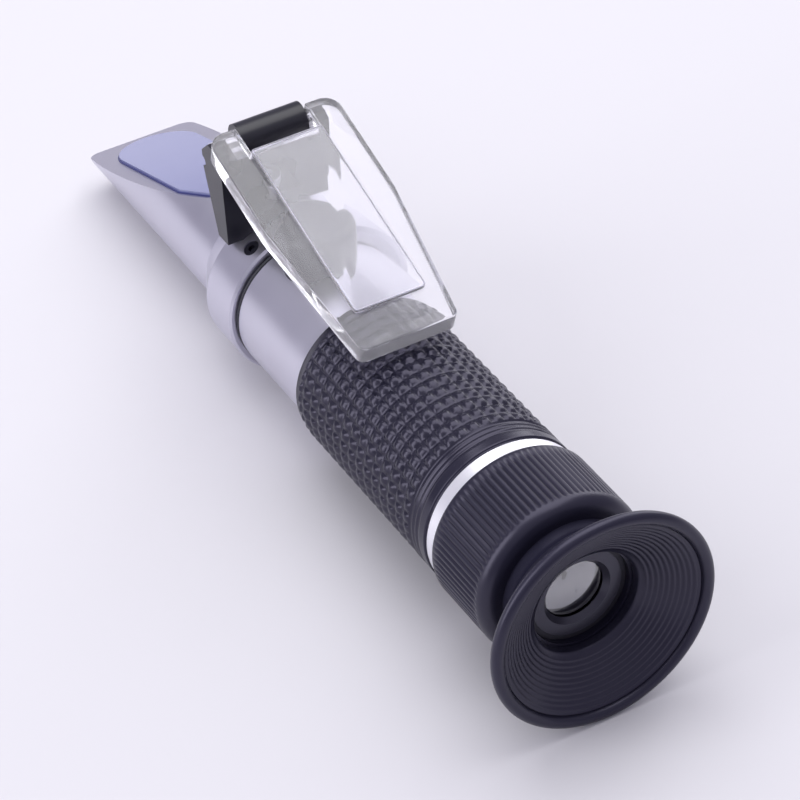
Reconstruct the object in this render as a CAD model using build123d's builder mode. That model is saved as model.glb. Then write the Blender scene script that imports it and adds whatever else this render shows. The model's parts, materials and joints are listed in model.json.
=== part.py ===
from build123d import *
from math import asin, atan, atan2, cos, degrees, hypot, radians, sin, sqrt
import os

os.makedirs("parts", exist_ok=True)

# A handheld optical refractometer, lying on a table with its cover plate swung open.
# It is drawn along its optical axis: Y runs from the eyecup's rim to the prism end, Z is up.
# At the end every piece is tipped so that the rim and the collar both stand on Z = 0.

# Fits
running = 0.05
press = 0.02
side_play = 0.15
soft_gap = 0.3

# Eyecup and focus ring
rim_radius = 20.0
rim_bead = 1.1
cup_depth = 6.0
cup_floor_radius = 9.3
cup_floor_land = 1.6
neck_wall = 1.6
neck_start = 8.8
neck_blend = 2.5
boss_radius = 10.0
boss_length = 4.3
ring_start = 12.0
ring_radius = 15.0
ring_end = 28.0
ring_wall = 2.5
ring_shoulder = 2.6
ring_edge = 0.4

# Ocular
ocular_radius = 8.8
ocular_start = 8.8
ocular_flange_radius = 11.9
ocular_flange = 1.7
ocular_body_radius = 10.5
ocular_end = 30.0
ocular_bore = 7.25
retainer_radius = 8.0
retainer_depth = 1.8
retainer_lip = 0.85
pupil_radius = 5.2
pupil_flare = 0.8
eye_lens_edge = 2.0
eye_lens_dome_radius = 22.0
spacer_wall = 0.9
spacer_end = 22.0
field_lens_edge = 2.6
lock_ring_length = 1.8
lock_ring_wall = 1.4
key_radius = 0.85
key_position = 22.0
key_depth = 2.8
key_reach = 0.9
focus_travel = 4.0

# Tube, trim ring and grip
spigot_radius = 12.15
spigot_play = 0.4
trim_radius = 14.2
trim_width = 3.2
trim_edge = 0.4
grip_radius = 14.4
grip_lip_radius = 13.9
grip_lip = 1.6
grip_end = 73.6
grip_edge = 0.5
tube_radius = 13.0
tube_bore = 11.2
tube_end = 97.5
rear_bore_end = 36.0
tube_thread_radius = 12.2
tube_thread_length = 7.0
seal_gap = 0.8
tube_edge = 0.3

# Reticle and baffle
reticle_cell_start = 44.0
reticle_cell_length = 6.0
reticle_seat = 9.0
reticle_clear = 7.6
reticle_lip = 1.5
reticle_thickness = 1.2
reticle_lock = 1.5
baffle_position = 56.0
baffle_thickness = 1.0
baffle_clear = 6.0

# Objective, temperature compensation and calibration
calibration_position = 91.0
calibration_travel = 0.5
objective_radius = 10.2
objective_length = 9.0
objective_bore = 8.5
objective_clear = 7.4
objective_lip = 1.2
objective_edge = 2.0
objective_dome_radius = 30.0
objective_lock = 1.5
objective_seat_wall = 0.6
spring_span = 8.0
spring_width = 4.0
spring_leaf = 0.25
spring_sink = 0.45
strip_start = 60.0
strip_end = 85.8
strip_width = 4.8
strip_thickness = 0.7
strip_screw_position = 63.0
strip_screw_head = 1.8
strip_screw_shank = 1.0
strip_screw_depth = 1.2
calibration_boss_radius = 4.0
calibration_boss_height = 2.9
calibration_boss_spigot = 2.2
calibration_shank = 1.45
calibration_head = 2.4
calibration_head_height = 1.2
calibration_slot = 0.6
calibration_tip_depth = 1.0
cap_radius = 6.0
cap_wall = 1.6
cap_top = 1.2
cap_round = 1.4
cap_travel = 3.3

# Head and prism
collar_radius = 14.15
collar_end = 107.0
cone_end = 113.0
collar_edge = 0.4
head_radius = 11.1
head_end = 163.4
head_round = 2.2
chamber_radius = 9.0
chamber_end = 117.0
face_angle = 18.1
face_front = 162.8
face_drop = -3.8
window_start = 2.1
window_half_width = 7.6
window_taper_start = 35.5
window_taper_end = 42.4
window_taper_half_width = 5.1
window_end = 44.5
window_end_half_width = 4.0
prism_proud = 0.6
prism_depth = 6.0
seal_width = 0.3
seal_depth = 1.5
seal_proud = 0.15
passage_half_width = 3.4
passage_height = 4.0
grub_radius = 1.5
grub_angle = 31.4
grub_position = 101.5
grub_socket = 0.7
grub_length = 1.7

# Cover plate and hinge
cover_edge = (104.9, 34.4)
cover_angle = 19.3
cover_length = 48.8
cover_thickness = 3.7
cover_half_width = 12.1
cover_tip_half_width = 9.0
cover_taper_start = 21.5
cover_corner = 3.0
cover_tip_corner = 1.5
cover_overhang = 3.0
pad_height = 1.0
pad_gap = 0.05
pad_start = 5.7
pad_end = 42.0
pad_half_width = 6.7
notch_half_width = 6.45
notch_depth = 5.6
ear_inner = 6.5
ear_thickness = 1.8
ear_round = 2.3
ear_foot = 3.0
pin_radius = 1.0

# Hinge bracket
bracket_rear = 104.2
bracket_half_width = 10.3
bracket_floor = 12.1
bracket_front_low = 107.7
bracket_front_high = 111.1
bracket_front_drop = 1.065
bracket_crest = 30.2
bracket_crest_depth = 1.2
barrel_centre = (105.9, 31.2)
barrel_radius = 2.8
barrel_half_width = 6.2
knuckle_half_width = 3.8
knuckle_round = 2.3
slot_drop = 1.465
slot_turn = 108.6
arch_half_width = 4.5
arch_height = 22.0
arch_round = 2.0
arch_depth = 108.4
foot_top = 16.6
foot_rear = 102.2
screw_position = 104.9
screw_head_radius = 2.3
screw_head_height = 2.3
screw_shank = 1.4
screw_length = 4.0
screw_socket = 1.1

# Places that follow from the sizes above
neck_radius = boss_radius + neck_wall
boss_end = ring_start - boss_length
ring_floor = ring_start + ring_wall
flange_end = ring_floor + running + ocular_flange
spigot_start = flange_end + spigot_play
spigot_bore = ocular_body_radius + running
skirt_bore = spigot_radius + running
retainer_end = ocular_start + retainer_depth
trim_end = ring_end + trim_width
reticle_cell_end = reticle_cell_start + reticle_cell_length
collar_start = tube_end + seal_gap
thread_end = tube_end + tube_thread_length
objective_start = calibration_position - objective_length / 2
objective_end = calibration_position + objective_length / 2
boss_top = tube_radius + calibration_boss_height
head_seat = boss_top + calibration_travel + running
cap_hollow = head_seat + calibration_head_height + calibration_travel + soft_gap
face_slope = radians(face_angle)
cover_slope = radians(cover_angle)
ear_outer = ear_inner + ear_thickness

# Planes of the slanted prism face and of the open cover plate, and the pin that joins them.
# The pin is where a swing of the plate brings its pad down onto the glass.
face = Plane(origin=(0, face_front, face_drop), x_dir=(1, 0, 0), z_dir=(0, sin(face_slope), cos(face_slope)))
cover = Plane(
    origin=(0, *cover_edge), x_dir=(1, 0, 0), z_dir=(0, -sin(cover_slope), cos(cover_slope))
)
above_face = sin(face_slope) * (cover_edge[0] - face_front) + cos(face_slope) * (cover_edge[1] - face_drop)
swing = face_slope + cover_slope
closed_height = prism_proud + pad_gap + pad_height
pin_depth = (above_face + cover_overhang * sin(swing) - closed_height) / (1 + cos(swing))
pin_y = cover_edge[0] + pin_depth * sin(cover_slope) + cover_overhang * cos(cover_slope)
pin_z = cover_edge[1] - pin_depth * cos(cover_slope) + cover_overhang * sin(cover_slope)
bracket_front_height = pin_z - bracket_front_drop
slot_rear_height = pin_z - slot_drop


def turned(*points):
    """A closed profile of (along, radius) points, turned about the optical axis."""
    with BuildSketch(Plane.YZ) as profile:
        with BuildLine():
            Polyline(*points, close=True)
        make_face()
    return profile.sketch


def window(grow):
    """The prism's outline in the slanted face, grown by an amount all round."""
    with BuildSketch() as outline:
        with BuildLine():
            side = window_start + window_half_width
            ThreePointArc((-window_half_width, -side), (0, -window_start), (window_half_width, -side))
            Polyline(
                (window_half_width, -side),
                (window_half_width, -window_taper_start),
                (window_taper_half_width, -window_taper_end),
                (window_end_half_width, -window_end),
                (-window_end_half_width, -window_end),
                (-window_taper_half_width, -window_taper_end),
                (-window_half_width, -window_taper_start),
                (-window_half_width, -side),
            )
        make_face()
        if grow > 0:
            offset(amount=grow, kind=Kind.INTERSECTION)
    return outline.sketch


def rims(piece, radius, along):
    """The round edges of a turned piece that have this radius at this place along the axis."""
    round_edges = piece.edges().filter_by(GeomType.CIRCLE)
    near = [e for e in round_edges if abs(e.center().Y - along) < press]
    return [e for e in near if abs(e.radius - radius) < press]


# Rubber eyecup: a flared cup with a round bead at its rim, stretched over the focus ring's boss
with BuildPart() as eyecup:
    flare = atan2(rim_radius - cup_floor_radius, cup_depth)
    lean_out = (rim_bead + rim_bead * sin(flare), rim_radius - rim_bead + rim_bead * cos(flare))
    lean_in = (rim_bead - rim_bead * sin(flare), rim_radius - rim_bead - rim_bead * cos(flare))
    with BuildSketch(Plane.YZ):
        with BuildLine():
            Polyline(
                lean_in,
                lean_out,
                (neck_start, neck_radius),
                (ring_start, neck_radius),
                (ring_start, boss_radius + press),
                (cup_depth + cup_floor_land, boss_radius + press),
                (cup_depth + cup_floor_land, cup_floor_radius),
                (cup_depth, cup_floor_radius),
                close=True,
            )
        make_face()
        with Locations((rim_bead, rim_radius - rim_bead)):
            Circle(rim_bead)
    revolve(axis=Axis.Y)
    fillet(rims(eyecup, neck_radius, neck_start), radius=neck_blend)
eyecup.part.label = "eyecup"

# Focus ring: turned by hand, its skirt runs on the tube's rear spigot
with BuildPart() as focus_ring:
    bore = ocular_radius + running
    with BuildSketch(Plane.YZ):
        with BuildLine():
            Polyline(
                (boss_end, bore),
                (boss_end, boss_radius),
                (ring_start, boss_radius),
                (ring_start, ring_radius),
                (ring_end, ring_radius),
                (ring_end, skirt_bore),
                (ring_floor, skirt_bore),
                (ring_floor, bore),
                close=True,
            )
        make_face()
    revolve(axis=Axis.Y)
    fillet(rims(focus_ring, ring_radius, ring_start), radius=ring_shoulder)
    chamfer(rims(focus_ring, ring_radius, ring_end), length=ring_edge)
focus_ring.part.label = "focus_ring"

# Ocular cell: the lens barrel, held in the focus ring by its flange and kept from turning by its key
with BuildPart() as ocular_cell:
    with BuildSketch(Plane.YZ):
        with BuildLine():
            Polyline(
                (ocular_start, retainer_radius + press),
                (ocular_start, ocular_radius),
                (ring_floor + running, ocular_radius),
                (ring_floor + running, ocular_flange_radius),
                (flange_end, ocular_flange_radius),
                (flange_end, ocular_body_radius),
                (ocular_end, ocular_body_radius),
                (ocular_end, ocular_bore),
                (retainer_end, ocular_bore),
                (retainer_end, retainer_radius + press),
                close=True,
            )
        make_face()
    revolve(axis=Axis.Y)
    with BuildSketch(Plane.XY.offset(ocular_body_radius - key_depth + key_reach)):
        with Locations((0, key_position)):
            Circle(key_radius + press)
    extrude(amount=key_depth, mode=Mode.SUBTRACT)
ocular_cell.part.label = "ocular_cell"

# Key: a small pin that rides in the tube's slot, so that the lenses slide and don't turn
with BuildPart() as focus_key:
    with BuildSketch(Plane.XY.offset(ocular_body_radius - key_depth + key_reach)):
        with Locations((0, key_position)):
            Circle(key_radius)
    extrude(amount=key_depth)
focus_key.part.label = "focus_key"

# Eye lens: its dome faces the eye through the retainer
with BuildPart() as eye_lens:
    lens_radius = ocular_bore - press
    dome = eye_lens_dome_radius - sqrt(eye_lens_dome_radius**2 - lens_radius**2)
    with BuildSketch(Plane.YZ):
        with BuildLine():
            half_dome = eye_lens_dome_radius - sqrt(eye_lens_dome_radius**2 - (lens_radius / 2) ** 2)
            vertex = retainer_end - dome
            ThreePointArc((vertex, 0), (vertex + half_dome, lens_radius / 2), (retainer_end, lens_radius))
            Polyline(
                (retainer_end, lens_radius),
                (retainer_end + eye_lens_edge, lens_radius),
                (retainer_end + eye_lens_edge, 0),
                (vertex, 0),
            )
        make_face()
    revolve(axis=Axis.Y)
eye_lens.part.label = "eye_lens"

# Eye lens retainer: a dished ring that shows as the bright ring round the lens
with BuildPart() as eye_lens_retainer:
    lip_end = retainer_end - retainer_lip
    with BuildSketch(Plane.YZ):
        with BuildLine():
            Polyline(
                (ocular_start, retainer_radius),
                (ocular_start, pupil_radius + pupil_flare),
                (lip_end - running, pupil_radius),
                (lip_end, pupil_radius),
                (retainer_end - running, lens_radius),
                (retainer_end - running, retainer_radius),
                close=True,
            )
        make_face()
    revolve(axis=Axis.Y)
eye_lens_retainer.part.label = "eye_lens_retainer"

# Lens spacer between the eye lens and the field lens
with BuildPart() as lens_spacer:
    spacer_start = retainer_end + eye_lens_edge
    add(
        turned(
            (spacer_start, lens_radius),
            (spacer_end, lens_radius),
            (spacer_end, lens_radius - spacer_wall),
            (spacer_start, lens_radius - spacer_wall),
        )
    )
    revolve(axis=Axis.Y)
lens_spacer.part.label = "lens_spacer"

# Field lens, flat on both sides
with BuildPart() as field_lens:
    with BuildSketch(Plane.XZ.offset(-spacer_end)):
        Circle(lens_radius)
    extrude(amount=-field_lens_edge)
field_lens.part.label = "field_lens"

# Lock ring that holds the ocular's lenses in
with BuildPart() as ocular_lock_ring:
    lock_start = spacer_end + field_lens_edge
    add(
        turned(
            (lock_start, lens_radius),
            (lock_start + lock_ring_length, lens_radius),
            (lock_start + lock_ring_length, lens_radius - lock_ring_wall),
            (lock_start, lens_radius - lock_ring_wall),
        )
    )
    revolve(axis=Axis.Y)
ocular_lock_ring.part.label = "ocular_lock_ring"

# Main tube: a rear spigot for the focus ring and a front spigot that screws into the collar
with BuildPart() as main_tube:
    add(
        turned(
            (spigot_start, spigot_bore),
            (spigot_start, spigot_radius),
            (trim_end, spigot_radius),
            (trim_end, tube_radius),
            (tube_end, tube_radius),
            (tube_end, tube_thread_radius),
            (thread_end, tube_thread_radius),
            (thread_end, tube_bore),
            (rear_bore_end, tube_bore),
            (rear_bore_end, spigot_bore),
        )
    )
    revolve(axis=Axis.Y)
    chamfer(rims(main_tube, tube_radius, tube_end), length=tube_edge)
    # Slot for the focus key, open to the rear
    slot_half = key_radius + running
    slot_end = key_position + slot_half + running
    with BuildSketch(Plane.XY.offset(ocular_body_radius - running)):
        with Locations((0, (spigot_start + slot_end) / 2)):
            Rectangle(2 * slot_half, slot_end - spigot_start)
    extrude(amount=key_reach + 2 * running, mode=Mode.SUBTRACT)
    # Hole under the calibration boss
    with BuildSketch(Plane.XY.offset(tube_bore / 2)):
        with Locations((0, calibration_position)):
            Circle(calibration_boss_spigot + press)
    extrude(amount=tube_radius, mode=Mode.SUBTRACT)
    # Tapped hole for the bimetal strip's screw
    with BuildSketch(Plane.XY.offset(-tube_bore - strip_screw_depth)):
        with Locations((0, strip_screw_position)):
            Circle(strip_screw_shank + press)
    extrude(amount=2 * strip_screw_depth, mode=Mode.SUBTRACT)
main_tube.part.label = "main_tube"

# Bright trim ring behind the grip
with BuildPart() as trim_ring:
    add(
        turned(
            (ring_end + running, spigot_radius + press),
            (ring_end + running, trim_radius),
            (trim_end, trim_radius),
            (trim_end, spigot_radius + press),
        )
    )
    revolve(axis=Axis.Y)
    chamfer(rims(trim_ring, trim_radius, trim_end), length=trim_edge)
    chamfer(rims(trim_ring, trim_radius, ring_end + running), length=trim_edge)
trim_ring.part.label = "trim_ring"

# Rubber grip with a smooth lip at its front
with BuildPart() as grip_sleeve:
    add(
        turned(
            (trim_end, tube_radius + press),
            (trim_end, grip_radius),
            (grip_end, grip_radius),
            (grip_end, grip_lip_radius),
            (grip_end + grip_lip, grip_lip_radius),
            (grip_end + grip_lip, tube_radius + press),
        )
    )
    revolve(axis=Axis.Y)
    fillet(rims(grip_sleeve, grip_radius, grip_end), radius=grip_edge / 2)
    fillet(rims(grip_sleeve, grip_lip_radius, grip_end + grip_lip), radius=grip_edge)
grip_sleeve.part.label = "grip_sleeve"

# Reticle cell, the scale's glass disc and the ring that locks it
with BuildPart() as reticle_cell:
    cell_radius = tube_bore - press
    add(
        turned(
            (reticle_cell_start, reticle_seat),
            (reticle_cell_start, cell_radius),
            (reticle_cell_end, cell_radius),
            (reticle_cell_end, reticle_clear),
            (reticle_cell_end - reticle_lip, reticle_clear),
            (reticle_cell_end - reticle_lip, reticle_seat),
        )
    )
    revolve(axis=Axis.Y)
reticle_cell.part.label = "reticle_cell"

with BuildPart() as reticle:
    with BuildSketch(Plane.XZ.offset(reticle_lip - reticle_cell_end)):
        Circle(reticle_seat - press)
    extrude(amount=reticle_thickness)
reticle.part.label = "reticle"

with BuildPart() as reticle_lock_ring:
    lock_front = reticle_cell_end - reticle_lip - reticle_thickness
    add(
        turned(
            (lock_front - reticle_lock, reticle_seat - press),
            (lock_front, reticle_seat - press),
            (lock_front, reticle_clear),
            (lock_front - reticle_lock, reticle_clear),
        )
    )
    revolve(axis=Axis.Y)
reticle_lock_ring.part.label = "reticle_lock_ring"

# Light baffle that keeps stray reflections off the scale
with BuildPart() as light_baffle:
    with BuildSketch(Plane.XZ.offset(-baffle_position)):
        Circle(cell_radius)
        Circle(baffle_clear, mode=Mode.SUBTRACT)
    extrude(amount=baffle_thickness)
light_baffle.part.label = "light_baffle"

# Objective cell: it rides up and down on the calibration screw
with BuildPart() as objective_cell:
    add(
        turned(
            (objective_start, objective_bore),
            (objective_start, objective_radius),
            (objective_end, objective_radius),
            (objective_end, objective_clear),
            (objective_end - objective_lip, objective_clear),
            (objective_end - objective_lip, objective_bore),
        )
    )
    revolve(axis=Axis.Y)
    with BuildSketch(Plane.XY.offset(objective_radius - calibration_tip_depth)):
        with Locations((0, calibration_position)):
            Circle(calibration_shank + running)
    extrude(amount=2 * calibration_tip_depth, mode=Mode.SUBTRACT)
objective_cell.part.label = "objective_cell"

with BuildPart() as objective_lens:
    glass_radius = objective_bore - press
    glass_back = objective_end - objective_lip
    glass_front = glass_back - objective_edge
    swell = objective_dome_radius - sqrt(objective_dome_radius**2 - glass_radius**2)
    half_swell = objective_dome_radius - sqrt(objective_dome_radius**2 - (glass_radius / 2) ** 2)
    with BuildSketch(Plane.YZ):
        with BuildLine():
            pole = glass_front - swell
            ThreePointArc((pole, 0), (pole + half_swell, glass_radius / 2), (glass_front, glass_radius))
            Polyline((glass_front, glass_radius), (glass_back, glass_radius), (glass_back, 0), (pole, 0))
        make_face()
    revolve(axis=Axis.Y)
objective_lens.part.label = "objective_lens"

with BuildPart() as objective_lock_ring:
    held_radius = glass_radius - objective_seat_wall
    lock_edge = pole + objective_dome_radius - sqrt(objective_dome_radius**2 - held_radius**2) - running
    add(
        turned(
            (lock_edge - objective_lock, glass_radius),
            (lock_edge, glass_radius),
            (lock_edge, held_radius),
            (lock_edge - objective_lock, held_radius),
        )
    )
    revolve(axis=Axis.Y)
objective_lock_ring.part.label = "objective_lock_ring"

# Carrier spring: a bowed leaf that pushes the objective cell up against the screw
with BuildPart() as carrier_spring:
    top = -objective_radius - running
    low = top - spring_sink
    with BuildSketch(Plane.YZ):
        with BuildLine():
            ends = (calibration_position - spring_span / 2, calibration_position + spring_span / 2)
            ThreePointArc((ends[0], low), (calibration_position, top), (ends[1], low))
            Line((ends[1], low), (ends[1], low - spring_leaf))
            ThreePointArc(
                (ends[1], low - spring_leaf), (calibration_position, top - spring_leaf), (ends[0], low - spring_leaf)
            )
            Line((ends[0], low - spring_leaf), (ends[0], low))
        make_face()
    extrude(amount=spring_width / 2, both=True)
carrier_spring.part.label = "carrier_spring"

# Bimetal strip that shifts the image with temperature, and the screw at its fixed end
strip_floor = -sqrt(tube_bore**2 - (strip_width / 2) ** 2) + press
with BuildPart() as bimetal_strip:
    with BuildSketch(Plane.XY.offset(strip_floor)):
        with Locations((0, (strip_start + strip_end) / 2)):
            Rectangle(strip_width, strip_end - strip_start)
        with Locations((0, strip_screw_position)):
            Circle(strip_screw_shank + press, mode=Mode.SUBTRACT)
    extrude(amount=strip_thickness)
bimetal_strip.part.label = "bimetal_strip"

with BuildPart() as bimetal_screw:
    strip_top = strip_floor + strip_thickness
    with BuildSketch(Plane.XY.offset(-tube_bore - strip_screw_depth)):
        with Locations((0, strip_screw_position)):
            Circle(strip_screw_shank)
    extrude(amount=strip_top + tube_bore + strip_screw_depth)
    with BuildSketch(Plane.XY.offset(strip_top)):
        with Locations((0, strip_screw_position)):
            Circle(strip_screw_head)
    extrude(amount=strip_screw_shank)
bimetal_screw.part.label = "bimetal_screw"

# Calibration boss on the tube
with BuildPart() as calibration_boss:
    with BuildSketch(Plane.XY.offset(tube_bore)):
        with Locations((0, calibration_position)):
            Circle(calibration_boss_radius)
    extrude(amount=boss_top - tube_bore)
    with BuildSketch(Plane.XZ):
        Circle(tube_radius + press)
    extrude(amount=-tube_end, mode=Mode.SUBTRACT)
    with BuildSketch(Plane.XY.offset(tube_bore)):
        with Locations((0, calibration_position)):
            Circle(calibration_boss_spigot)
    extrude(amount=calibration_boss_height)
    with BuildSketch(Plane.XY.offset(boss_top)):
        with Locations((0, calibration_position)):
            Circle(calibration_shank + running)
    extrude(amount=-boss_top, mode=Mode.SUBTRACT)
    chamfer(calibration_boss.edges().group_by(Axis.Z)[-1].sort_by(SortBy.RADIUS)[-1], length=tube_edge)
calibration_boss.part.label = "calibration_boss"

# Calibration screw with a slotted head
with BuildPart() as calibration_screw:
    tip = objective_radius - calibration_tip_depth + running
    with BuildSketch(Plane.XY.offset(tip)):
        with Locations((0, calibration_position)):
            Circle(calibration_shank)
    extrude(amount=head_seat - tip)
    with BuildSketch(Plane.XY.offset(head_seat)):
        with Locations((0, calibration_position)):
            Circle(calibration_head)
    extrude(amount=calibration_head_height)
    with BuildSketch(Plane.XY.offset(head_seat + calibration_head_height)):
        with Locations((0, calibration_position)):
            Rectangle(2 * calibration_head, calibration_slot)
    extrude(amount=-calibration_slot, mode=Mode.SUBTRACT)
calibration_screw.part.label = "calibration_screw"

# Rubber cap over the calibration screw; its underside follows the tube
with BuildPart() as calibration_cap:
    with BuildSketch(Plane.XY.offset(tube_bore)):
        with Locations((0, calibration_position)):
            Circle(cap_radius)
    extrude(amount=cap_hollow + cap_top - tube_bore)
    fillet(calibration_cap.edges().group_by(Axis.Z)[-1], radius=cap_round)
    with BuildSketch(Plane.XY.offset(cap_hollow)):
        with Locations((0, calibration_position)):
            Circle(cap_radius - cap_wall)
    extrude(amount=-cap_hollow, mode=Mode.SUBTRACT)
    with BuildSketch(Plane.XZ):
        Circle(tube_radius + side_play)
    extrude(amount=-tube_end, mode=Mode.SUBTRACT)
calibration_cap.part.label = "calibration_cap"

# Sealing ring between the tube and the collar
with BuildPart() as tube_seal:
    with BuildSketch(Plane.YZ):
        with Locations((tube_end + seal_gap / 2, tube_thread_radius + seal_gap / 2 + press)):
            Circle(seal_gap / 2)
    revolve(axis=Axis.Y)
tube_seal.part.label = "tube_seal"

# Head: collar, cone and a barrel cut by the slanted face, with the prism's pocket
with BuildPart() as prism_head:
    add(
        turned(
            (collar_start, tube_thread_radius + press),
            (collar_start, collar_radius),
            (collar_end, collar_radius),
            (cone_end, head_radius),
            (head_end, head_radius),
            (head_end, 0),
            (chamber_end, 0),
            (chamber_end, chamber_radius),
            (thread_end, chamber_radius),
            (thread_end, tube_thread_radius + press),
        )
    )
    revolve(axis=Axis.Y)
    fillet(rims(prism_head, head_radius, head_end), radius=head_round)
    chamfer(rims(prism_head, collar_radius, collar_start), length=collar_edge)
    split(bisect_by=face, keep=Keep.BOTTOM)
    with BuildSketch(face):
        add(window(press))
    extrude(amount=-prism_depth, mode=Mode.SUBTRACT)
    with BuildSketch(face):
        add(window(seal_width + press))
    extrude(amount=-seal_depth, mode=Mode.SUBTRACT)
    # Light passage from the prism's rear face into the tube
    passage = face.offset(-prism_depth)
    with BuildSketch(passage):
        with Locations((0, -window_end)):
            Rectangle(2 * passage_half_width, 2 * passage_height)
    extrude(amount=passage_height, mode=Mode.SUBTRACT)
    # Tapped holes for the collar's set screws, and for the bracket's screw
    for angle in (-grub_angle, grub_angle):
        sideways = Plane(
            origin=(0, grub_position, 0), x_dir=(0, 1, 0), z_dir=(sin(radians(angle)), 0, cos(radians(angle)))
        )
        with BuildSketch(sideways.offset(chamber_radius)):
            Circle(grub_radius)
        extrude(amount=collar_radius - chamber_radius + running, mode=Mode.SUBTRACT)
    with BuildSketch(Plane.XY.offset(foot_top - screw_length)):
        with Locations((0, screw_position)):
            Circle(screw_shank + press)
    extrude(amount=screw_length, mode=Mode.SUBTRACT)
prism_head.part.label = "prism_head"

# Main prism: optical glass, proud of the slanted face
with BuildPart() as main_prism:
    with BuildSketch(face.offset(prism_proud)):
        add(window(0))
    extrude(amount=-prism_depth - prism_proud)
main_prism.part.label = "main_prism"

# Dark sealing bead round the prism
with BuildPart() as prism_seal:
    with BuildSketch(face.offset(seal_proud)):
        add(window(seal_width))
        add(window(press), mode=Mode.SUBTRACT)
    extrude(amount=-seal_depth - seal_proud)
prism_seal.part.label = "prism_seal"

# Set screws that lock the collar on the tube
with BuildPart() as collar_set_screws:
    for angle in (-grub_angle, grub_angle):
        sideways = Plane(
            origin=(0, grub_position, 0), x_dir=(0, 1, 0), z_dir=(sin(radians(angle)), 0, cos(radians(angle)))
        )
        with BuildSketch(sideways.offset(tube_thread_radius + running)):
            Circle(grub_radius - press)
        extrude(amount=grub_length)
        with BuildSketch(sideways.offset(tube_thread_radius + running + grub_length)):
            RegularPolygon(radius=grub_socket, side_count=6)
        extrude(amount=-grub_socket, mode=Mode.SUBTRACT)
collar_set_screws.part.label = "collar_set_screws"

# Hinge bracket: a moulded block on the collar with a barrel on top, side cheeks, slots for the
# cover's ears, a knuckle round the pin and an arch at the rear over its screw
with BuildPart() as hinge_bracket:
    low_point = (bracket_front_low, bracket_floor)
    with BuildSketch(Plane.YZ):
        with BuildLine():
            Polyline(
                (bracket_rear, bracket_floor),
                low_point,
                (bracket_front_high, bracket_front_height),
                (bracket_front_high, pin_z + knuckle_round),
                (bracket_front_high - 2 * bracket_crest_depth, bracket_crest),
                (bracket_rear + bracket_crest_depth, bracket_crest),
                (bracket_rear, bracket_crest - bracket_crest_depth),
                close=True,
            )
        make_face()
    extrude(amount=bracket_half_width, both=True)
    with BuildSketch(Plane.YZ):
        with Locations(barrel_centre):
            Circle(barrel_radius)
    extrude(amount=barrel_half_width, both=True)
    with BuildSketch(Plane.YZ):
        with Locations((pin_y, pin_z)):
            Circle(knuckle_round)
        with BuildLine():
            Polyline(
                (pin_y, pin_z - knuckle_round),
                (bracket_rear + knuckle_round, pin_z - 2 * knuckle_round),
                (bracket_rear + knuckle_round, pin_z + knuckle_round),
                (pin_y, pin_z + knuckle_round),
                close=True,
            )
        make_face()
    extrude(amount=knuckle_half_width, both=True)
    # Foot under the screw's head
    with BuildSketch(Plane.XY.offset(bracket_floor)):
        with Locations((0, (foot_rear + arch_depth) / 2)):
            Rectangle(2 * arch_half_width, arch_depth - foot_rear)
    extrude(amount=foot_top - bracket_floor)
    # Slots for the ears, open to the rear, the top and the front
    for side in (-1, 1):
        middle = side * (ear_inner + ear_outer) / 2
        with BuildSketch(Plane.YZ.offset(middle)):
            with BuildLine():
                Polyline(
                    (foot_rear, slot_rear_height),
                    (slot_turn, slot_rear_height - side_play),
                    (slot_turn, bracket_floor),
                    (cone_end, bracket_floor),
                    (cone_end, bracket_crest + barrel_radius),
                    (foot_rear, bracket_crest + barrel_radius),
                    close=True,
                )
            make_face()
        extrude(amount=ear_thickness / 2 + side_play, both=True, mode=Mode.SUBTRACT)
    # Rear arch
    with BuildSketch(Plane.XZ.offset(-foot_rear)):
        with BuildLine():
            Polyline(
                (-arch_half_width, foot_top),
                (arch_half_width, foot_top),
                (arch_half_width, arch_height - arch_round),
                (arch_half_width - arch_round, arch_height),
                (arch_round - arch_half_width, arch_height),
                (-arch_half_width, arch_height - arch_round),
                close=True,
            )
        make_face()
    extrude(amount=foot_rear - arch_depth, mode=Mode.SUBTRACT)
    # Saddle on the collar and the cone
    add(
        turned(
            (foot_rear - 1, 0),
            (foot_rear - 1, collar_radius + press),
            (collar_end, collar_radius + press),
            (cone_end, head_radius + press),
            (cone_end, 0),
        )
    )
    revolve(axis=Axis.Y, mode=Mode.SUBTRACT)
    # Holes for the pin and the screw
    with BuildSketch(Plane.YZ):
        with Locations((pin_y, pin_z)):
            Circle(pin_radius + press)
    extrude(amount=bracket_half_width, both=True, mode=Mode.SUBTRACT)
    with BuildSketch(Plane.XY.offset(foot_top)):
        with Locations((0, screw_position)):
            Circle(screw_shank + press)
    extrude(amount=-foot_top, mode=Mode.SUBTRACT)
hinge_bracket.part.label = "hinge_bracket"

# Bracket screw: a socket head that sits in the arch
with BuildPart() as bracket_screw:
    with BuildSketch(Plane.XY.offset(foot_top - screw_length)):
        with Locations((0, screw_position)):
            Circle(screw_shank)
    extrude(amount=screw_length)
    with BuildSketch(Plane.XY.offset(foot_top)):
        with Locations((0, screw_position)):
            Circle(screw_head_radius)
    extrude(amount=screw_head_height)
    fillet(bracket_screw.edges().group_by(Axis.Z)[-1], radius=tube_edge)
    with BuildSketch(Plane.XY.offset(foot_top + screw_head_height)):
        with Locations((0, screw_position)):
            RegularPolygon(radius=screw_socket, side_count=6)
    extrude(amount=-screw_socket, mode=Mode.SUBTRACT)
bracket_screw.part.label = "bracket_screw"

# Hinge pin, held in the knuckle, with the cover's ears turning on its ends
with BuildPart() as hinge_pin:
    with BuildSketch(Plane.YZ):
        with Locations((pin_y, pin_z)):
            Circle(pin_radius)
    extrude(amount=ear_outer, both=True)
hinge_pin.part.label = "hinge_pin"

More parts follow.
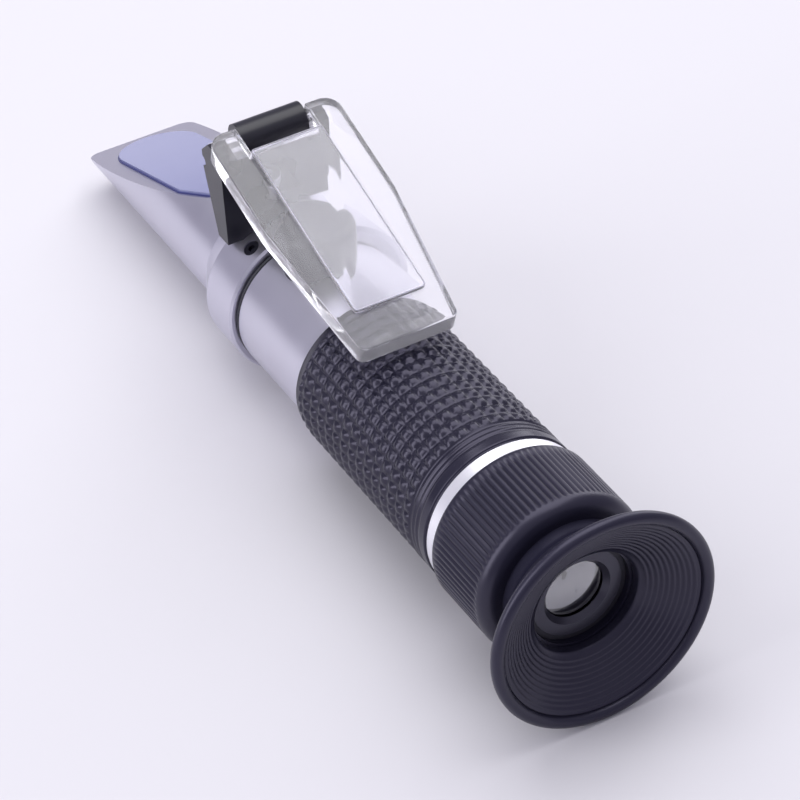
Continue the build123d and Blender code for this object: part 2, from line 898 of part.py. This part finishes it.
# Cover plate: clear acrylic with a frosted pad, a notch round the barrel and two ears on the pin
with BuildPart() as cover_plate:
    with BuildSketch(cover):
        with BuildLine():
            Polyline(
                (-cover_half_width, 0),
                (cover_half_width, 0),
                (cover_half_width, -cover_taper_start),
                (cover_tip_half_width, -cover_length),
                (-cover_tip_half_width, -cover_length),
                (-cover_half_width, -cover_taper_start),
                close=True,
            )
        make_face()
        fillet(vertices().sort_by(Axis.Y)[-2:], radius=cover_corner)
        fillet(vertices().sort_by(Axis.Y)[:2], radius=cover_tip_corner)
        with Locations((0, -notch_depth / 2)):
            Rectangle(2 * notch_half_width, notch_depth, mode=Mode.SUBTRACT)
    extrude(amount=-cover_thickness)
    with BuildSketch(cover):
        with Locations((0, -(pad_start + pad_end) / 2)):
            Rectangle(2 * pad_half_width, pad_end - pad_start)
        with Locations((0, -notch_depth / 2)):
            Rectangle(2 * notch_half_width, notch_depth, mode=Mode.SUBTRACT)
    extrude(amount=pad_height)
    # Ears down to the pin
    under = -cover_thickness
    for side in (-1, 1):
        ear_plane = Plane(
            origin=(side * (ear_inner + ear_outer) / 2, *cover_edge),
            x_dir=(0, cos(cover_slope), sin(cover_slope)),
            z_dir=(1, 0, 0),
        )
        with BuildSketch(ear_plane):
            with Locations((cover_overhang, -pin_depth)):
                Circle(ear_round)
            with Locations((-ear_round, under + 0.1 - 0.5)):
                Rectangle(2 * ear_round, 1.0)
            make_hull()
            with Locations((cover_overhang, -pin_depth)):
                Circle(pin_radius + running, mode=Mode.SUBTRACT)
        extrude(amount=ear_thickness / 2, both=True)
cover_plate.part.label = "cover_plate"

# The whole instrument tips about X until the rim's bead and the collar's edge both stand on Z = 0
bead_circle = rim_radius - rim_bead
reach = hypot(collar_end - rim_bead, bead_circle - collar_radius)
tilt = asin(rim_bead / reach) + atan2(bead_circle - collar_radius, collar_end - rim_bead)
lift = collar_end * sin(tilt) + collar_radius * cos(tilt)
tipped = Pos(0, 0, lift) * Rot(X=-degrees(tilt))

pieces = [
    eyecup, focus_ring, ocular_cell, focus_key, eye_lens, eye_lens_retainer, lens_spacer, field_lens,
    ocular_lock_ring, main_tube, trim_ring, grip_sleeve, reticle_cell, reticle, reticle_lock_ring,
    light_baffle, objective_cell, objective_lens, objective_lock_ring, carrier_spring, bimetal_strip,
    bimetal_screw, calibration_boss, calibration_screw, calibration_cap, tube_seal, prism_head,
    main_prism, prism_seal, collar_set_screws, hinge_bracket, bracket_screw, hinge_pin, cover_plate,
]
whole = Compound([tipped * piece.part for piece in pieces])
middle = whole.bounding_box().center().Y
standing = Pos(0, -middle, 0) * tipped
for piece in pieces:
    piece.part.locate(standing)
    export_step(piece.part, f"parts/{piece.part.label}.step")
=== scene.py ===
import json
from math import atan2, cos, pi, radians, sin, tan

import bmesh
import bpy
from mathutils import Matrix, Vector


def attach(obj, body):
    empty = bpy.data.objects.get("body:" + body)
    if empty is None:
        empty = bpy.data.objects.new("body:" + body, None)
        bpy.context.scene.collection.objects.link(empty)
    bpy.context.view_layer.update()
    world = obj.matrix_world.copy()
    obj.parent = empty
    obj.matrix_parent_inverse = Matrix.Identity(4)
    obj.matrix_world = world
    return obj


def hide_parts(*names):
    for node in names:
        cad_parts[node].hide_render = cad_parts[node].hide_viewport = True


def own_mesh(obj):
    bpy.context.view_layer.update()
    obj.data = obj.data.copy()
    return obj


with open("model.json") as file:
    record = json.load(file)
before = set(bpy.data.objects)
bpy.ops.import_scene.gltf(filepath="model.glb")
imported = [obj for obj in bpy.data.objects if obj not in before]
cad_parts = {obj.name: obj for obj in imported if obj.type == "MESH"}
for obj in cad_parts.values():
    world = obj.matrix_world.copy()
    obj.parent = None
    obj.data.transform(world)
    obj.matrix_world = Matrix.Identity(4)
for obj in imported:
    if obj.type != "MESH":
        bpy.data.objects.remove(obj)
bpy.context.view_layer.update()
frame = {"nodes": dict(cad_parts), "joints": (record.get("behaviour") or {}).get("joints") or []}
nodes = frame["nodes"]
MM = 0.001

# How the instrument lies. It rests on the eyecup's rim and the collar, so its optical axis leans
# down towards the prism. The lean is read from the cap's joint, and the focus ring's joint gives
# a point on the axis. Pieces are drawn along the axis, eyecup rim at 0, and then laid down.
joints = {joint["name"]: joint for joint in frame["joints"]}
cap_axis = Vector(joints["calibration_cap_pull"]["axis"])
lean = atan2(cap_axis.y, cap_axis.z)
focus_point_along = 20 * MM
lying = (
    Matrix.Translation(Vector(joints["focus_turn"]["pos_m"]))
    @ Matrix.Rotation(-lean, 4, "X")
    @ Matrix.Translation((0, -focus_point_along, 0))
)


# Camera. A long lens looks down on the eyepiece end from the left, with a slight bank.
# The angles are about the optical axis, and the aim is a point near the middle of the grip.
camera_side = radians(-26.95)
camera_climb = radians(38.76)
camera_bank = radians(-4.0)
camera_distance = 591.7 * MM
camera_aim = Vector((0, 60, 0)) * MM
camera_offset = Vector((2.22, -2.84)) * MM
camera_lens = 162.2
camera_film = 36
camera_near = 10 * MM
towards = Vector((
    sin(camera_side) * cos(camera_climb), -cos(camera_side) * cos(camera_climb), sin(camera_climb),
))
level = Vector((cos(camera_side), sin(camera_side), 0))
rightwards = level * cos(camera_bank) + towards.cross(level) * sin(camera_bank)
upwards = towards.cross(rightwards)
stand = Matrix((rightwards, upwards, towards)).transposed().to_4x4()
stand.translation = (
    camera_aim + towards * camera_distance - rightwards * camera_offset.x - upwards * camera_offset.y
)
camera = bpy.data.objects.new("camera", bpy.data.cameras.new("camera"))
camera.data.lens = camera_lens
camera.data.sensor_width = camera_film
camera.data.clip_start = camera_near
camera.matrix_world = lying @ stand
bpy.context.scene.collection.objects.link(camera)
bpy.context.scene.camera = camera
bpy.context.scene.view_settings.view_transform = "Standard"


# Table: a flat, matt, pale lavender surface, made as one large square. The instrument lies on it,
# and its soft shadow falls there.
def new_material(name):
    """A fresh material, with its node tree and its shader."""
    material = bpy.data.materials.new(name)
    material.use_nodes = True
    tree = material.node_tree
    shader = tree.nodes["Principled BSDF"]
    return material, tree, shader


def new_piece(name, mesh):
    """An object at the origin that carries this mesh."""
    piece = bpy.data.objects.new(name, mesh)
    bpy.context.scene.collection.objects.link(piece)
    return piece


table_colour = (0.66, 0.648, 0.685, 1)
backdrop_colour = (0.88, 0.87, 0.92, 1)
table_half = 1.5
table_roughness = 0.9
table_gloss = 0.1
build = bmesh.new()
bmesh.ops.create_grid(build, x_segments=1, y_segments=1, size=table_half)
table_mesh = bpy.data.meshes.new("table")
build.to_mesh(table_mesh)
build.free()
table = new_piece("table", table_mesh)
table_finish, tree, shader = new_material("table")
shader.inputs["Base Color"].default_value = table_colour
shader.inputs["Roughness"].default_value = table_roughness
shader.inputs["Specular IOR Level"].default_value = table_gloss
table.data.materials.append(table_finish)


# Light: a bright room with a large soft panel overhead, a strip at the left and a panel at the right,
# so that the satin metal shows broad pale bands. The camera sees the backdrop's colour instead.
room_low = (0.42, 0.40, 0.52, 1)
room_high = (0.80, 0.79, 0.88, 1)
room_strength = 0.75
world = bpy.data.worlds.new("room")
bpy.context.scene.world = world
world.use_nodes = True
room = world.node_tree
room_light = room.nodes["Background"]
direction = room.nodes.new("ShaderNodeTexCoord")
height = room.nodes.new("ShaderNodeSeparateXYZ")
room.links.new(direction.outputs["Generated"], height.inputs[0])
ramp = room.nodes.new("ShaderNodeValToRGB")
ramp.color_ramp.elements[0].color = room_low
ramp.color_ramp.elements[1].color = room_high
room.links.new(height.outputs["Z"], ramp.inputs[0])
room.links.new(ramp.outputs[0], room_light.inputs["Color"])
room_light.inputs["Strength"].default_value = room_strength
backdrop = room.nodes.new("ShaderNodeBackground")
backdrop.inputs["Color"].default_value = backdrop_colour
ray = room.nodes.new("ShaderNodeLightPath")
choose = room.nodes.new("ShaderNodeMixShader")
room.links.new(ray.outputs["Is Camera Ray"], choose.inputs[0])
room.links.new(room_light.outputs[0], choose.inputs[1])
room.links.new(backdrop.outputs[0], choose.inputs[2])
room.links.new(choose.outputs[0], room.nodes["World Output"].inputs["Surface"])


def soft_panel(name, place, aim, width, depth, power):
    """A rectangular lamp at place, turned to face aim."""
    lamp = bpy.data.lights.new(name, "AREA")
    lamp.shape = "RECTANGLE"
    lamp.size = width
    lamp.size_y = depth
    lamp.energy = power
    panel = bpy.data.objects.new(name, lamp)
    panel.location = place
    panel.rotation_euler = (Vector(aim) - Vector(place)).to_track_quat("-Z", "Y").to_euler()
    bpy.context.scene.collection.objects.link(panel)


soft_panel("overhead_panel", (0.10, 0.15, 0.75), aim=(0, 0, 0), width=0.9, depth=0.7, power=4.6)
soft_panel("left_strip", (-0.65, 0.05, 0.30), aim=(0, 0, 0.02), width=0.35, depth=0.9, power=3.2)
soft_panel("right_panel", (0.60, 0.35, 0.35), aim=(0, 0.02, 0.02), width=0.4, depth=0.6, power=1.6)


# Eyecup: black moulded rubber, a shallow cup with a round lip that a fine groove sets off.
# Fine rings run round its inner cone, and a neck grips the focus ring's boss.
def new_group(name, inputs):
    """A shader group with a Place input, other float inputs, and Mask and Height outputs."""
    group = bpy.data.node_groups.new(name, "ShaderNodeTree")
    group.interface.new_socket("Place", in_out="INPUT", socket_type="NodeSocketVector")
    for label, value in inputs.items():
        socket = group.interface.new_socket(label, in_out="INPUT", socket_type="NodeSocketFloat")
        socket.default_value = value
    for label in ("Mask", "Height"):
        group.interface.new_socket(label, in_out="OUTPUT", socket_type="NodeSocketFloat")
    entry = group.nodes.new("NodeGroupInput")
    leaving = group.nodes.new("NodeGroupOutput")
    return group, entry, leaving


fine_grain = 2500.0
fine_detail = 4
broad_grain = 120.0
broad_detail = 3
grain_depth = 0.05 * MM
sheen_spread = 0.15
grain_group, entry, leaving = new_group("grain", {"Fine": fine_grain, "Broad": broad_grain})
fine = grain_group.nodes.new("ShaderNodeTexNoise")
fine.inputs["Detail"].default_value = fine_detail
broad = grain_group.nodes.new("ShaderNodeTexNoise")
broad.inputs["Detail"].default_value = broad_detail
for noise, label in ((fine, "Fine"), (broad, "Broad")):
    grain_group.links.new(entry.outputs["Place"], noise.inputs["Vector"])
    grain_group.links.new(entry.outputs[label], noise.inputs["Scale"])
grain_group.links.new(broad.outputs["Fac"], leaving.inputs["Mask"])
grain_group.links.new(fine.outputs["Fac"], leaving.inputs["Height"])


def surface(
    name, colour, roughness, metal=0.0, stretch=(1, 1, 1), fine=fine_grain, bump=0.1, mottle=0.12, **more
):
    """A finish whose grain follows the optical axis. Under 1, stretch draws the grain out along X, Y or Z."""
    material, tree, shader = new_material(name)
    place = tree.nodes.new("ShaderNodeTexCoord")
    along_axis = tree.nodes.new("ShaderNodeMapping")
    upright = lying.inverted()
    along_axis.inputs["Location"].default_value = upright.translation
    along_axis.inputs["Rotation"].default_value = upright.to_euler()
    stretched = tree.nodes.new("ShaderNodeVectorMath")
    stretched.operation = "MULTIPLY"
    stretched.inputs[1].default_value = stretch
    grain = tree.nodes.new("ShaderNodeGroup")
    grain.node_tree = grain_group
    grain.inputs["Fine"].default_value = fine
    tree.links.new(place.outputs["Object"], along_axis.inputs["Vector"])
    tree.links.new(along_axis.outputs[0], stretched.inputs[0])
    tree.links.new(stretched.outputs[0], grain.inputs["Place"])
    tint = tree.nodes.new("ShaderNodeMix")
    tint.data_type = "RGBA"
    tint.inputs["A"].default_value = (*(part * (1 - mottle) for part in colour), 1)
    tint.inputs["B"].default_value = (*(min(1, part * (1 + mottle)) for part in colour), 1)
    tree.links.new(grain.outputs["Mask"], tint.inputs["Factor"])
    tree.links.new(tint.outputs["Result"], shader.inputs["Base Color"])
    sheen = tree.nodes.new("ShaderNodeMapRange")
    sheen.inputs["To Min"].default_value = roughness * (1 - sheen_spread)
    sheen.inputs["To Max"].default_value = min(1, roughness * (1 + sheen_spread))
    tree.links.new(grain.outputs["Mask"], sheen.inputs["Value"])
    tree.links.new(sheen.outputs[0], shader.inputs["Roughness"])
    relief = tree.nodes.new("ShaderNodeBump")
    relief.inputs["Strength"].default_value = bump
    relief.inputs["Distance"].default_value = grain_depth
    tree.links.new(grain.outputs["Height"], relief.inputs["Height"])
    tree.links.new(relief.outputs[0], shader.inputs["Normal"])
    shader.inputs["Metallic"].default_value = metal
    for label, value in more.items():
        shader.inputs[label.replace("_", " ")].default_value = value
    return material


def finished(build, name, body, node, materials, sharp=radians(35)):
    """Lays a mesh drawn in mm along the axis on the table, gives it to its body, and hides the frame piece it
    stands in for.
    """
    build.transform(lying @ Matrix.Scale(MM, 4))
    bmesh.ops.recalc_face_normals(build, faces=build.faces)
    mesh = bpy.data.meshes.new(name)
    build.to_mesh(mesh)
    build.free()
    mesh.shade_smooth()
    mesh.set_sharp_from_angle(angle=sharp)
    for material in materials:
        mesh.materials.append(material)
    piece = new_piece(name, mesh)
    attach(piece, body)
    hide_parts(node)


def spun(outline, steps, relief=None):
    """A closed (along, radius) outline turned about the axis. relief(along, turn) deepens marked points."""
    build = bmesh.new()
    rings = []
    for along, radius, *marked in outline:
        ring = []
        for step in range(steps):
            turn = 2 * pi * step / steps
            size = radius + (relief(along, turn) if marked else 0)
            ring.append(build.verts.new((size * sin(turn), along, size * cos(turn))))
        rings.append(ring)
    for ring, after in zip(rings, rings[1:] + rings[:1]):
        for step in range(steps):
            nearby = (step + 1) % steps
            build.faces.new((ring[step], ring[nearby], after[nearby], after[step]))
    return build


def arc(centre, radius, start, end, steps):
    """Points of an arc in the (along, radius) plane, from one angle in degrees to another."""
    turns = [radians(start + (end - start) * step / steps) for step in range(steps + 1)]
    return [(centre[0] + radius * cos(turn), centre[1] + radius * sin(turn)) for turn in turns]


rim_radius = 20.0
rim_bead = 1.1
bead_size = 1.095
bead_start = 60
bead_end = 270
bead_steps = 18
groove_depth = 0.28
groove_radius = 17.9
groove_half = 0.25
cup_depth = 6.0
cup_floor_radius = 9.3
cone_sink = 0.25
floor_edge = 0.1
floor_blend = 0.4
floor_land = 1.6
ridge_outer = 17.3
ridge_count = 10
ridge_pitch = 0.72
ridge_height = 0.16
ridge_steps = 6
neck_radius = 11.55
neck_start = 8.8
neck_blend = ((1.4, 0), (0.7, 0.15), (-0.1, 0.7), (-0.9, 1.7))
boss_radius = 10.02
ring_start = 12.0
cup_steps = 256
round_edge = radians(50)


def cone_along(radius):
    """Where the cup's inner cone has this radius."""
    mouth = rim_radius - rim_bead
    return cup_depth * (mouth - radius) / (mouth - cup_floor_radius) + cone_sink


cup = arc((rim_bead, rim_radius - rim_bead), bead_size, bead_start, bead_end, bead_steps)
cup += [(cone_along(groove_radius + groove_half), groove_radius + groove_half)]
cup += [(cone_along(groove_radius) + groove_depth, groove_radius)]
cup += [(cone_along(groove_radius - groove_half), groove_radius - groove_half)]
for ridge in range(ridge_count):
    for share in range(ridge_steps):
        radius = ridge_outer - ridge_pitch * (ridge + share / ridge_steps)
        height = ridge_height * (0.5 - 0.5 * cos(2 * pi * share / ridge_steps))
        cup.append((cone_along(radius) - height, radius))
cup += [(cup_depth - floor_edge, cup_floor_radius + floor_blend)]
cup += [(cup_depth + floor_edge, cup_floor_radius + floor_edge)]
cup += [(cup_depth + floor_blend, cup_floor_radius), (cup_depth + floor_land, cup_floor_radius)]
cup += [(cup_depth + floor_land, boss_radius), (ring_start, boss_radius), (ring_start, neck_radius)]
cup += [(neck_start + ahead, neck_radius + rise) for ahead, rise in neck_blend]
black_sheen = {"Specular_IOR_Level": 0.55, "Specular_Tint": (0.80, 0.76, 1.0, 1)}
rubber = surface("black_rubber", (0.011, 0.0105, 0.022), 0.34, fine=1500, bump=0.1, **black_sheen)
finished(
    spun(cup, cup_steps), "eyecup_rubber", "focus_knob", "eyecup", [rubber], round_edge,
)


# Focus ring: moulded in black with fine lengthwise ribs between a round shoulder and its rear lip.
# It turns on the tube's spigot and carries the eyecup.
ring_radius = 15.0
ring_end = 28.0
ring_shoulder = 2.6
ring_floor = 14.5
skirt_bore = 12.2
ring_bore = 8.85
boss_end = 7.7
rib_count = 84
rib_depth = 0.32
rib_early = 0.3
rib_short = 1.0
rib_start = ring_start + ring_shoulder - rib_early
rib_stop = ring_end - rib_short
rib_fade = 0.8
rib_rows = 18
rib_steps = 10
boss_face = 9.95
shoulder_start = 175
shoulder_stop = 90
shoulder_steps = 12
rear_lip = 0.4
lip_blend = ((0.12, 0.1), (0, 0.35))


def focus_ribs(along, turn):
    """Depth of the grooves between the ribs, which run out softly at both ends."""
    ends = min(1, max(0, (along - rib_start) / rib_fade), max(0, (rib_stop - along) / rib_fade))
    groove = (0.5 - 0.5 * cos(rib_count * turn)) ** 2
    return -rib_depth * ends * groove


ring = [(boss_end, ring_bore), (boss_end, boss_face), (ring_start, boss_face)]
ring += [(ring_start, ring_radius - ring_shoulder)]
shoulder = (ring_start + ring_shoulder, ring_radius - ring_shoulder)
shoulder_arc = arc(shoulder, ring_shoulder, shoulder_start, shoulder_stop, shoulder_steps)
ring += [(along, radius, True) for along, radius in shoulder_arc]
rib_span = ring_end - rear_lip - ring_start - ring_shoulder
ring += [(shoulder[0] + rib_span * row / rib_rows, ring_radius, True) for row in range(1, rib_rows + 1)]
ring += [(ring_end - back, ring_radius - drop) for back, drop in lip_blend]
ring += [(ring_end, skirt_bore)]
ring += [(ring_floor, skirt_bore), (ring_floor, ring_bore)]
ring_black = surface("black_plastic", (0.010, 0.0095, 0.020), 0.32, fine=1800, bump=0.08, **black_sheen)
finished(
    spun(ring, rib_count * rib_steps, focus_ribs), "focus_ring_ribbed", "focus_knob",
    "focus_ring", [ring_black], round_edge,
)


# Grip: soft black rubber with rows of small round bumps, pulled over the aluminium tube.
# Three thin rings finish it next to the trim ring, and a thin smooth lip ends it in front.
grip_start = 31.22
grip_radius = 14.4
grip_bore = 13.0
grip_end = 73.6
grip_lip_end = 75.2
grip_lip_radius = 13.9
bump_pitch = 2.6
bump_count = 40
bump_depth = 0.6
bump_round = 0.45
bump_join = 0.8
bump_steps = 10
ring_band = 5.2
smooth_band = 1.9
ring_band_end = grip_start + ring_band
thin_ring_start = grip_start + smooth_band
thin_ring_pitch = 1.1
thin_ring_depth = 0.3
grip_rows = 168
grip_edge_drop = 0.25
grip_edge_run = 0.15
grip_front_run = 0.3
lip_step = 0.1
lip_step_height = 0.05
lip_round = 0.3
grip_edge = radians(60)


def grip_bumps(along, turn):
    """Depth of the grooves between bumps, and of the thin rings at the rear."""
    if along < thin_ring_start:
        return 0
    if along < ring_band_end:
        ring_turn = 2 * pi * (along - thin_ring_start) / thin_ring_pitch
        return -thin_ring_depth * (0.5 - 0.5 * cos(ring_turn))
    rib = (0.5 - 0.5 * cos(2 * pi * (along - ring_band_end) / bump_pitch)) ** bump_round
    row = 1 - bump_join * (0.5 + 0.5 * cos(bump_count * turn)) ** 3
    return -bump_depth * (1 - rib * row)


grip_span = grip_end - grip_start - grip_front_run
grip = [(grip_start, grip_bore), (grip_start, grip_radius - grip_edge_drop)]
for row in range(grip_rows + 1):
    grip.append((grip_start + grip_edge_run + grip_span * row / grip_rows, grip_radius, True))
grip += [(grip_end, grip_lip_radius + lip_step_height), (grip_end + lip_step, grip_lip_radius)]
grip += [(grip_lip_end - lip_round, grip_lip_radius), (grip_lip_end, grip_lip_radius - lip_round)]
grip += [(grip_lip_end, grip_bore)]
grip_black = surface("grip_rubber", (0.009, 0.0085, 0.018), 0.24, fine=1500, bump=0.1, **black_sheen)
finished(
    spun(grip, bump_count * bump_steps, grip_bumps), "grip_bumped", "frame", "grip_sleeve",
    [grip_black], grip_edge,
)


# Cover plate: clear moulded acrylic with polished edges and a frosted pad that spreads the sample.
# A notch clears the hinge barrel, and two ears reach down to the pin.
cover_edge = Vector((0, 104.9, 34.4))
cover_angle = radians(19.3)
cover_place = Matrix.Translation(cover_edge) @ Matrix.Rotation(cover_angle, 4, "X")
cover_thickness = 3.7
cover_length = 48.8
cover_half = 12.1
cover_tip_half = 9.0
cover_taper = 21.5
hinge_corner = 3.0
tip_corner = 1.5
notch_half = 6.45
notch_depth = 5.6
notch_mouth = 0.4
notch_corner = 0.3
cover_bevel = 0.4
pad_half = 6.65
pad_start = 5.75
pad_end = 41.95
pad_rear_corner = 0.4
pad_tip_corner = 0.8
cover_corners = (
    (-notch_half, 0, notch_mouth), (-notch_half, -notch_depth, notch_corner),
    (notch_half, -notch_depth, notch_corner), (notch_half, 0, notch_mouth),
    (cover_half, 0, hinge_corner), (cover_half, -cover_taper, 0),
    (cover_tip_half, -cover_length, tip_corner), (-cover_tip_half, -cover_length, tip_corner),
    (-cover_half, -cover_taper, 0), (-cover_half, 0, hinge_corner),
)
pad_corners = (
    (-pad_half, -pad_start, pad_rear_corner), (pad_half, -pad_start, pad_rear_corner),
    (pad_half, -pad_end, pad_tip_corner), (-pad_half, -pad_end, pad_tip_corner),
)
pad_height = 0.98
pad_lift = 0.02
pad_bevel = 0.2
ear_inner = 6.5
ear_outer = 8.25
ear_round = 2.28
ear_steps = 24
ear_foot = 4.5
ear_foot_low = -4.2
ear_foot_high = -3.72
cover_edge_angle = radians(30)
bevel_angle = radians(40)
bevel_steps = 3


def rounded(corners, steps=6):
    """The outline through these (x, y, radius) corners, each turned by an arc of its radius."""
    outline = []
    for here, before, after in zip(corners, corners[-1:] + corners[:-1], corners[1:] + corners[:1]):
        corner = Vector(here[:2])
        back = (Vector(before[:2]) - corner).normalized()
        ahead = (Vector(after[:2]) - corner).normalized()
        if here[2] == 0:
            outline.append(corner)
            continue
        half = back.angle(ahead) / 2
        centre = corner + (back + ahead).normalized() * here[2] / sin(half)
        start = corner + back * here[2] / tan(half) - centre
        end = corner + ahead * here[2] / tan(half) - centre
        sweep = start.angle_signed(end)
        for step in range(steps + 1):
            outline.append(centre + Matrix.Rotation(-sweep * step / steps, 2) @ start)
    return outline


def slab(build, outline, low, high, bevel, material=0):
    """A flat solid from low to high over the outline, with softened edges."""
    bottom = build.faces.new([build.verts.new((point.x, point.y, low)) for point in outline])
    raised = bmesh.ops.extrude_face_region(build, geom=[bottom])["geom"]
    top = [item for item in raised if isinstance(item, bmesh.types.BMVert)]
    bmesh.ops.translate(build, verts=top, vec=(0, 0, high - low))
    walls = {face for vert in top for face in vert.link_faces} | {bottom}
    bmesh.ops.recalc_face_normals(build, faces=list(walls))
    edges = {edge for face in walls for edge in face.edges}
    sharp = [edge for edge in edges if edge.calc_face_angle(0) > bevel_angle]
    shaped = bmesh.ops.bevel(
        build, geom=sharp, offset=bevel, segments=bevel_steps, profile=0.5, affect="EDGES", material=-1,
        clamp_overlap=True,
    )["faces"]
    for face in [face for face in walls if face.is_valid] + shaped:
        face.material_index = material


pin_point = cover_place.inverted() @ (lying.inverted() @ Vector(joints["cover_hinge"]["pos_m"]) / MM)
build = bmesh.new()
slab(build, rounded(cover_corners), -cover_thickness, 0, cover_bevel)
slab(build, rounded(pad_corners), pad_lift, pad_height, pad_bevel, material=1)
for side in (-1, 1):
    ear = []
    for x in (side * ear_inner, side * ear_outer):
        for step in range(ear_steps):
            turn = 2 * pi * step / ear_steps
            spot = (x, pin_point.y + ear_round * cos(turn), pin_point.z + ear_round * sin(turn))
            ear.append(build.verts.new(spot))
        for height in (ear_foot_low, ear_foot_high):
            for along in (-ear_foot, 0):
                ear.append(build.verts.new((x, along, height)))
    hull = bmesh.ops.convex_hull(build, input=ear)
    left_over = hull["geom_interior"] + hull["geom_unused"]
    spare = {item for item in left_over if isinstance(item, bmesh.types.BMVert)}
    bmesh.ops.delete(build, geom=list(spare), context="VERTS")
build.transform(cover_place)
clear = surface(
    "clear_acrylic", (0.97, 0.965, 1.0), 0.04, bump=0.01, mottle=0.01, IOR=1.36, Transmission_Weight=0.9,
)
frosted = surface(
    "frosted_pad", (0.84, 0.82, 0.95), 0.33, fine=4000, bump=0.3, IOR=1.3, Transmission_Weight=0.82,
)
finished(
    build, "cover_plate_clear", "cover", "cover_plate", [clear, frosted], cover_edge_angle,
)


# Metal and moulded parts whose shapes come from the frame. The tube and head are satin aluminium and
# plate, the trim ring is brighter, and inner pieces are blackened so that they don't reflect.
def dressed(material, *names):
    """Gives frame pieces this finish."""
    for name in names:
        nodes[name].data.materials.clear()
        nodes[name].data.materials.append(material)


lathe_lines = (0.06, 1, 0.06)
satin = surface(
    "satin_aluminium", (0.62, 0.61, 0.69), 0.34, metal=1.0, stretch=lathe_lines, bump=0.05, mottle=0.04,
)
dressed(satin, "main_tube")
plated = surface("plated_casting", (0.61, 0.60, 0.685), 0.33, metal=1.0, bump=0.04, mottle=0.04)
dressed(plated, "prism_head")
bright = surface(
    "bright_aluminium", (0.93, 0.925, 0.97), 0.38, metal=1.0, stretch=lathe_lines, bump=0.04, mottle=0.03,
)
dressed(bright, "trim_ring", "calibration_boss")
moulded = surface("moulded_black", (0.011, 0.0105, 0.018), 0.32, fine=1800, bump=0.08)
dressed(moulded, "hinge_bracket", "calibration_cap")
anodised = surface("black_metal", (0.030, 0.029, 0.040), 0.45, metal=0.6, stretch=lathe_lines, bump=0.06)
dressed(
    anodised, "ocular_cell", "ocular_lock_ring", "lens_spacer", "reticle_cell", "reticle_lock_ring",
    "light_baffle", "objective_cell", "objective_lock_ring",
)
retainer_grey = surface(
    "retainer_grey", (0.055, 0.053, 0.075), 0.30, metal=0.5, stretch=lathe_lines, bump=0.05,
)
dressed(retainer_grey, "eye_lens_retainer")
steel = surface("steel", (0.55, 0.54, 0.60), 0.28, metal=1.0, bump=0.05)
dressed(steel, "bracket_screw", "hinge_pin", "calibration_screw", "focus_key", "bimetal_screw")
dark_steel = surface("black_steel", (0.05, 0.05, 0.07), 0.35, metal=0.9, bump=0.05)
dressed(dark_steel, "collar_set_screws")
two_metal = surface("bimetal", (0.62, 0.50, 0.34), 0.35, metal=1.0, bump=0.06, mottle=0.08)
dressed(two_metal, "bimetal_strip")
seal_black = surface("seal_rubber", (0.016, 0.016, 0.026), 0.5, fine=1500, bump=0.1)
dressed(seal_black, "tube_seal")
seal_blue = surface("prism_seal", (0.03, 0.035, 0.16), 0.35, fine=1500, bump=0.08)
dressed(seal_blue, "prism_seal")


# Carrier spring: a bowed steel leaf below the objective cell, which it pushes up against the screw.
# Its foot stays on the tube. Here it is a steel copy of the frame's leaf, held by the frame, and the frame's
# own leaf is hidden.
spring = new_piece("carrier_spring_leaf", nodes["carrier_spring"].data.copy())
spring.data.materials.clear()
spring.data.materials.append(steel)
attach(spring, "frame")
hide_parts("carrier_spring")
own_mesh(spring)


# Glass: the coated lenses and the reticle are clear, and the prism has a bluish polished face.
# Their shapes come from the frame, and only their finishes are made here.
lens_glass = surface(
    "optical_glass", (0.90, 0.90, 1.0), 0.02, bump=0.005, mottle=0.01, IOR=1.52, Transmission_Weight=1.0,
    Coat_Weight=1.0, Coat_IOR=2.4,
)
dressed(lens_glass, "eye_lens", "field_lens", "reticle", "objective_lens")
prism_blue = surface(
    "prism_glass", (0.29, 0.31, 0.57), 0.08, bump=0.01, mottle=0.03, IOR=1.62, Transmission_Weight=0.3,
    Coat_Weight=0.4,
)
dressed(prism_blue, "main_prism")
